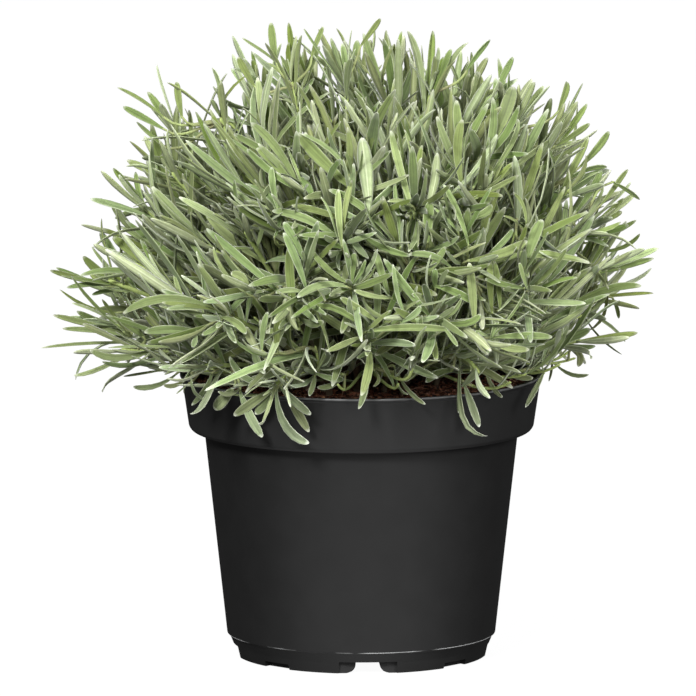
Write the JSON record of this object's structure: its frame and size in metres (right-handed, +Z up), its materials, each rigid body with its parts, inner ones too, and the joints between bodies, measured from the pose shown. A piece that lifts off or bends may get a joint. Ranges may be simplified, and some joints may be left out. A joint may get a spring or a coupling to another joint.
{
  "type": "potted lavender plant",
  "caption": "Bushy lavender without flowers, with narrow felted grey-green leaves in opposite pairs, growing in peat compost in a round black plastic nursery pot.",
  "frame": {"origin": "on the floor under the middle of the whole plant's outline, within a few millimetres of the pot's axis, level with the undersides of the feet", "axes": "+Z up along the pot's axis; -Y towards the side seen in the picture; +X to the right as seen from there"},
  "size_m": [0.3126, 0.3131, 0.3354],
  "materials": {
    "pot": "satin",
    "soil": "matte",
    "leaf": "matte"
  },
  "bodies": {
    "root": {"pot": "pot", "soil": "soil", "leafy_stem_01": "leaf", "leafy_stem_02": "leaf", "leafy_stem_03": "leaf", "leafy_stem_04": "leaf", "leafy_stem_05": "leaf", "leafy_stem_06": "leaf", "leafy_stem_07": "leaf", "leafy_stem_08": "leaf", "leafy_stem_09": "leaf", "leafy_stem_10": "leaf", "leafy_stem_11": "leaf", "leafy_stem_12": "leaf", "leafy_stem_13": "leaf", "leafy_stem_14": "leaf", "leafy_stem_15": "leaf", "leafy_stem_16": "leaf", "leafy_stem_17": "leaf", "leafy_stem_18": "leaf", "leafy_stem_19": "leaf", "leafy_stem_20": "leaf", "leafy_stem_21": "leaf", "leafy_stem_22": "leaf", "leafy_stem_23": "leaf", "leafy_stem_24": "leaf", "leafy_stem_25": "leaf", "leafy_stem_26": "leaf", "leafy_stem_27": "leaf", "leafy_stem_28": "leaf", "leafy_stem_29": "leaf", "leafy_stem_30": "leaf", "leafy_stem_31": "leaf", "leafy_stem_32": "leaf", "leafy_stem_33": "leaf", "leafy_stem_34": "leaf", "leafy_stem_35": "leaf", "leafy_stem_36": "leaf", "leafy_stem_37": "leaf", "leafy_stem_38": "leaf", "leafy_stem_39": "leaf", "leafy_stem_40": "leaf", "leafy_stem_41": "leaf", "leafy_stem_42": "leaf", "leafy_stem_43": "leaf", "leafy_stem_44": "leaf", "leafy_stem_45": "leaf", "leafy_stem_46": "leaf", "leafy_stem_47": "leaf", "leafy_stem_48": "leaf", "leafy_stem_49": "leaf"}
  },
  "joints": []
}
